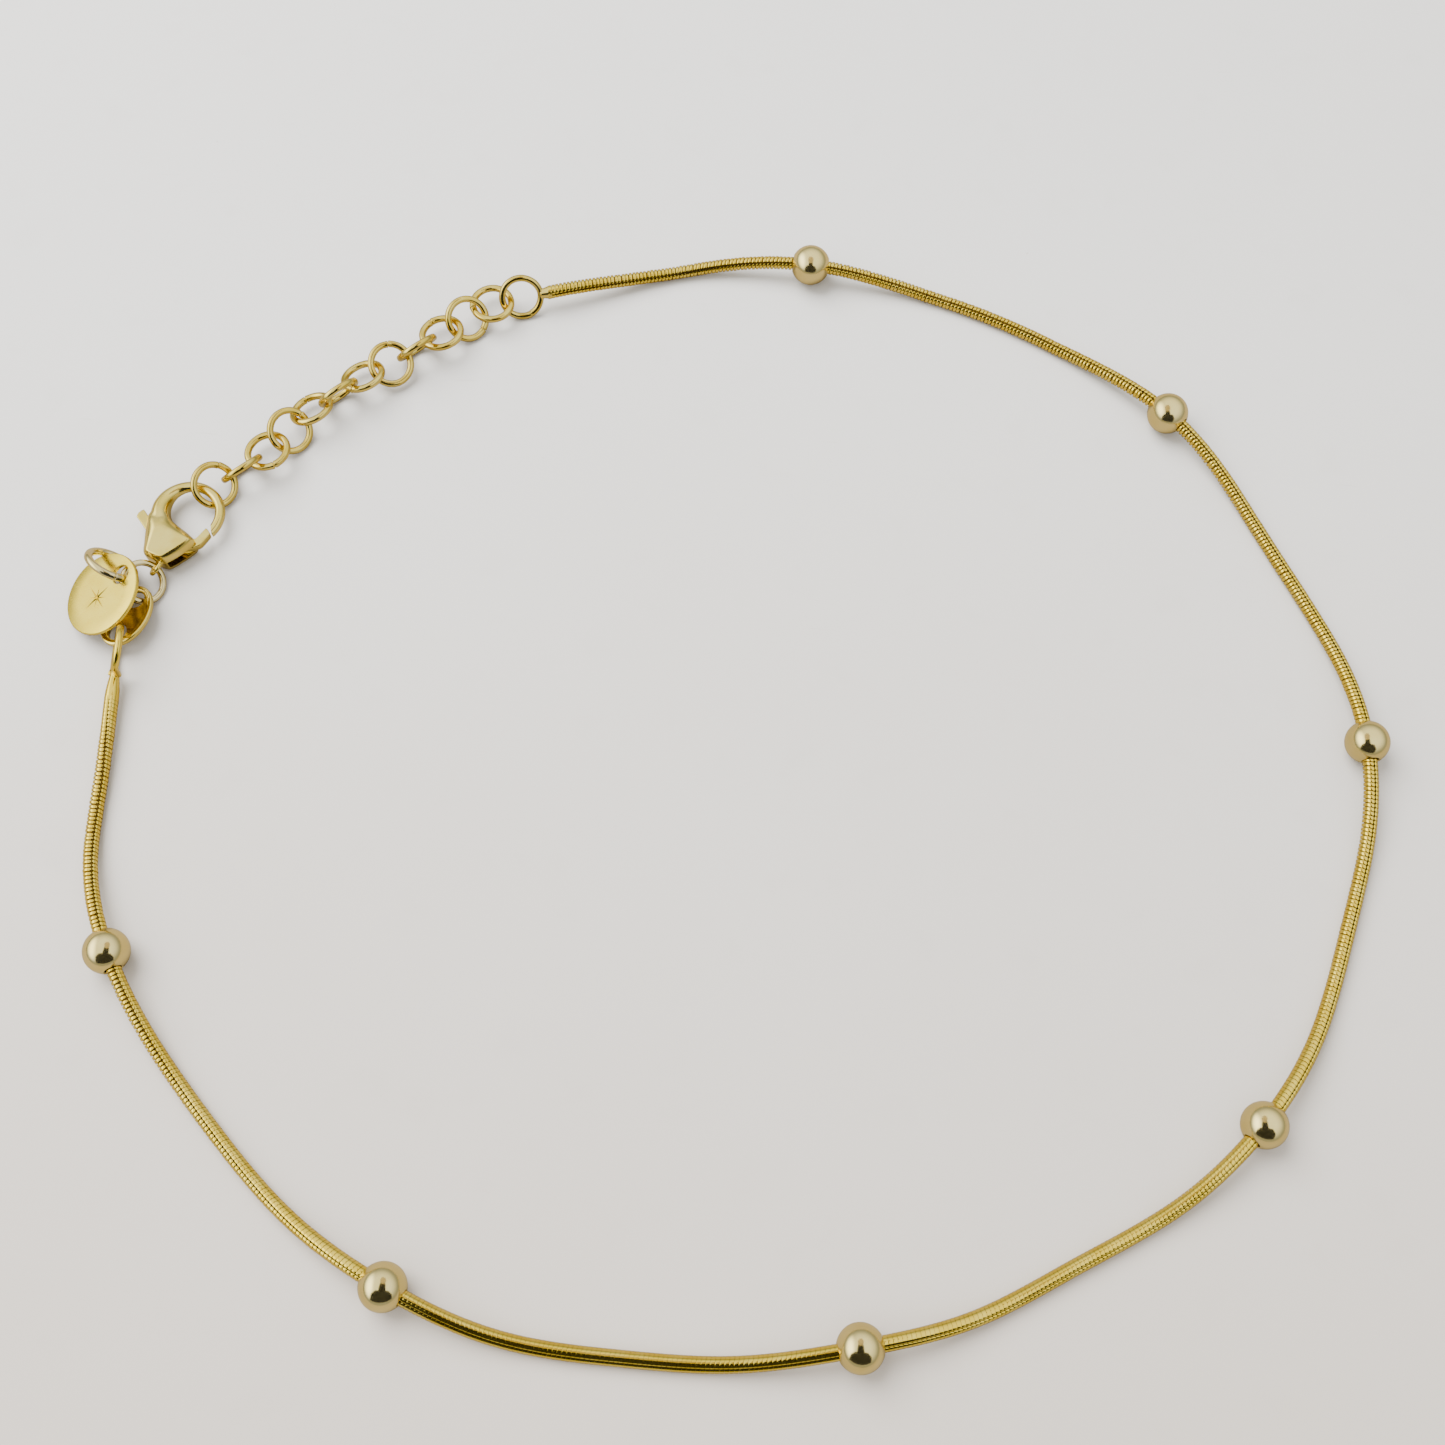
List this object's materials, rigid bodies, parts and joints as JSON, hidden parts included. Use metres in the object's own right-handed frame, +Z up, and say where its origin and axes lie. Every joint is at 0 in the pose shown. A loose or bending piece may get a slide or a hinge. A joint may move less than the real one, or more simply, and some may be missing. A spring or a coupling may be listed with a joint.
{
  "type": "chain anklet",
  "caption": "Snake chain anklet strung with small round beads, with an oval connector, a round tag, a lobster clasp and a round-link extender, closed in a loop.",
  "frame": {"origin": "middle of the footprint, on the surface the anklet lies on", "axes": "+Z up from the surface, +X along the loop's longest way, across the picture, +Y away from the viewer"},
  "size_m": [0.093, 0.0816, 0.0038],
  "materials": {
    "chain_gold": "polished",
    "bead_gold": "mirror polished",
    "link_gold": "polished",
    "pale_gold": "polished",
    "satin_gold": "satin"
  },
  "bodies": {
    "anklet": {"snake_chain": "chain_gold", "chain_end_ring": "chain_gold", "bead_1": "bead_gold", "bead_2": "bead_gold", "bead_3": "bead_gold", "bead_4": "bead_gold", "bead_5": "bead_gold", "bead_6": "bead_gold", "bead_7": "bead_gold", "extender_end_ring": "link_gold", "extender_link_01": "link_gold", "extender_link_02": "link_gold", "extender_link_03": "link_gold", "extender_link_04": "link_gold", "extender_link_05": "link_gold", "extender_link_06": "link_gold", "extender_link_07": "link_gold", "extender_link_08": "link_gold", "extender_link_09": "link_gold", "extender_link_10": "link_gold", "extender_link_11": "link_gold", "extender_link_12": "link_gold", "clasp_jump_ring": "pale_gold", "tag_jump_ring": "pale_gold", "clasp_body": "satin_gold", "round_tag": "satin_gold", "oval_connector": "satin_gold"},
    "lever": {"clasp_lever": "satin_gold"}
  },
  "joints": [
    {"name": "clasp_lever_turn", "type": "hinge", "parent": "anklet", "child": "lever", "pos_m": [-0.03993, 0.01317, 0.0011], "axis": [0, 0, 1], "range_deg": [0, 25], "stiffness_Nm_per_rad": 0.00002, "springref_deg": -20.05}
  ]
}
